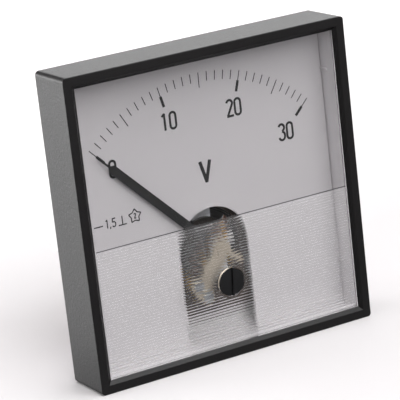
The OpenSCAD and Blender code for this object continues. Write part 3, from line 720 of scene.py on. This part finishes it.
def sweep_paper():
    material, tree, shader, place = finish("matt_paper", "#dcd9da", 0.9)
    fibre = add(tree, "ShaderNodeTexNoise", {"Vector": place, "Scale": per(1.5), "Detail": 2.0})
    relief(tree, shader, fibre.outputs["Fac"], 0.01, 0.2)
    path = add(tree, "ShaderNodeLightPath")
    depth = add(tree, "ShaderNodeSeparateXYZ", {0: place})
    rise = add(
        tree,
        "ShaderNodeMapRange",
        {"Value": depth.outputs["Y"], "From Min": 50 * MM, "From Max": 500 * MM, "To Max": PAPER_LIFT},
    )
    lift = add(
        tree, "ShaderNodeMath", {0: path.outputs["Is Camera Ray"], 1: rise.outputs[0]}, operation="MULTIPLY"
    )
    glow = add(tree, "ShaderNodeEmission", {"Color": linear("#ffffff"), "Strength": lift.outputs[0]})
    lit = add(tree, "ShaderNodeAddShader", {0: shader.outputs[0], 1: glow.outputs[0]})
    # Painted reflection: rays that mirror the sweep see an emission, bright behind the object and dim in front of
    # it and near the backdrop's top.
    fall = add(
        tree,
        "ShaderNodeMapRange",
        {
            "Value": depth.outputs["Y"],
            "From Min": -30 * MM,
            "From Max": 60 * MM,
            "To Min": PAINTED_REFLECTION_FRONT,
            "To Max": PAINTED_REFLECTION_BACK,
        },
        interpolation_type="SMOOTHSTEP",
    )
    top = add(
        tree,
        "ShaderNodeMapRange",
        {
            "Value": depth.outputs["Z"],
            "From Min": 0.5,
            "From Max": 0.65,
            "To Min": 1.0,
            "To Max": 0.1,
        },
    )
    painted_reflection_strength = add(tree, "ShaderNodeMath", {0: fall.outputs[0], 1: top.outputs[0]}, operation="MULTIPLY")
    painted_reflection_glow = add(tree, "ShaderNodeEmission", {"Color": linear("#ffffff"), "Strength": painted_reflection_strength.outputs[0]})
    both = add(
        tree,
        "ShaderNodeMixShader",
        {0: path.outputs["Is Glossy Ray"], 1: lit.outputs[0], 2: painted_reflection_glow.outputs[0]},
    )
    tree.links.new(both.outputs[0], tree.nodes["Material Output"].inputs["Surface"])
    return material


sweep = bmesh.new()
near, far, bend = -0.9, 1.6, 0.5
HALF_WIDTH, BACKDROP_TOP = 1.6, 1.8
profile = [(near, 0.0), (far - bend, 0.0)]
profile += [
    (far - bend + bend * math.sin(math.radians(a)), bend - bend * math.cos(math.radians(a)))
    for a in range(10, 91, 10)
]
profile.append((far, BACKDROP_TOP))
line = [sweep.verts.new((-HALF_WIDTH, y, floor_height + z)) for y, z in profile]
edges = [sweep.edges.new(pair) for pair in zip(line, line[1:])]
side = bmesh.ops.extrude_edge_only(sweep, edges=edges)["geom"]
bmesh.ops.translate(sweep, verts=[v for v in side if isinstance(v, bmesh.types.BMVert)], vec=(2 * HALF_WIDTH, 0, 0))
for face in sweep.faces:
    face.smooth = True
sweep_mesh = bpy.data.meshes.new("sweep")
sweep.to_mesh(sweep_mesh)
sweep.free()
sweep_mesh.materials.append(sweep_paper())
sweep_object = bpy.data.objects.new("sweep", sweep_mesh)
bpy.context.scene.collection.objects.link(sweep_object)

# %% [markdown]
# ## Light
#
# Four soft lamps do the work. Two stand behind the meter: one far to the left,
# which skims the left wall and turns its black grain grey, and one at the back
# on the right. One hangs overhead. The largest stands high in front and lights
# the dial. The world adds an even base, and where it is mirrored it is a painted
# reflection, dimmer than the light it gives.


# %% Lamps and world
# The world's strength for glossy rays is a painted reflection, dimmer than the light it gives.
WORLD_LEVEL, WORLD_PAINTED_REFLECTION = 0.33, 0.14


def softbox(name, place, width, height, power):
    lamp = bpy.data.lights.new(name, "AREA")
    lamp.shape = "RECTANGLE"
    lamp.size = width
    lamp.size_y = height
    lamp.energy = power
    holder = bpy.data.objects.new(name, lamp)
    holder.location = place
    holder.rotation_euler = (-Vector(place)).to_track_quat("-Z", "Y").to_euler()
    holder.visible_camera = False
    bpy.context.scene.collection.objects.link(holder)


softbox("overhead_softbox", (0.1, -0.1, 1.0), 0.8, 0.8, 6.0)
softbox("back_softbox", (0.8, 1.15, 0.4), 0.8, 0.5, 2.9)
softbox("left_softbox", (-1.0, 0.7, 0.08), 0.7, 0.22, 18.0)
softbox("front_softbox", (0.1, -1.05, 0.9), 1.6, 1.6, 20.0)

world = bpy.data.worlds.new("studio")
bpy.context.scene.world = world
world.use_nodes = True
sky = world.node_tree.nodes["Background"]
path = add(world.node_tree, "ShaderNodeLightPath")
# Painted reflection: glossy rays see the world dimmer than the light it casts.
level = add(
    world.node_tree,
    "ShaderNodeMapRange",
    {"Value": path.outputs["Is Glossy Ray"], "To Min": WORLD_LEVEL, "To Max": WORLD_PAINTED_REFLECTION},
)
seen = add(
    world.node_tree,
    "ShaderNodeMath",
    {0: level.outputs[0], 1: path.outputs["Is Camera Ray"]},
    operation="MAXIMUM",
)
world.node_tree.links.new(seen.outputs[0], sky.inputs["Strength"])
sky.inputs["Color"].default_value = (1, 1, 1, 1)

# %% [markdown]
# ## Camera
#
# A long lens from half a metre keeps the square bezel nearly square. The camera
# stands to the left of the meter and a little above, and leans a few degrees.

# %% Camera
VIEW_AZIMUTH = math.radians(28.75)
VIEW_ELEVATION = math.radians(15.25)
VIEW_ROLL = math.radians(-6.52)
VIEW_DISTANCE = 514.3 * MM
FOCAL_LENGTH, SENSOR_WIDTH = 205.2, 36
aim = Vector((-2.5 * MM, bezel_low.y / 2, 0.2 * MM))
sight = Vector(
    (
        math.sin(VIEW_AZIMUTH) * math.cos(VIEW_ELEVATION),
        math.cos(VIEW_AZIMUTH) * math.cos(VIEW_ELEVATION),
        -math.sin(VIEW_ELEVATION),
    )
)
lens = bpy.data.cameras.new("camera")
lens.sensor_width = SENSOR_WIDTH
lens.lens = FOCAL_LENGTH
camera = bpy.data.objects.new("camera", lens)
camera.location = aim - sight * VIEW_DISTANCE
camera.rotation_mode = "QUATERNION"
camera.rotation_quaternion = sight.to_track_quat("-Z", "Y") @ Quaternion((0, 0, 1), VIEW_ROLL)
bpy.context.scene.collection.objects.link(camera)
bpy.context.scene.camera = camera
bpy.context.scene.view_settings.view_transform = "Standard"
print("camera at", [round(v / MM, 1) for v in camera.location], "mm")
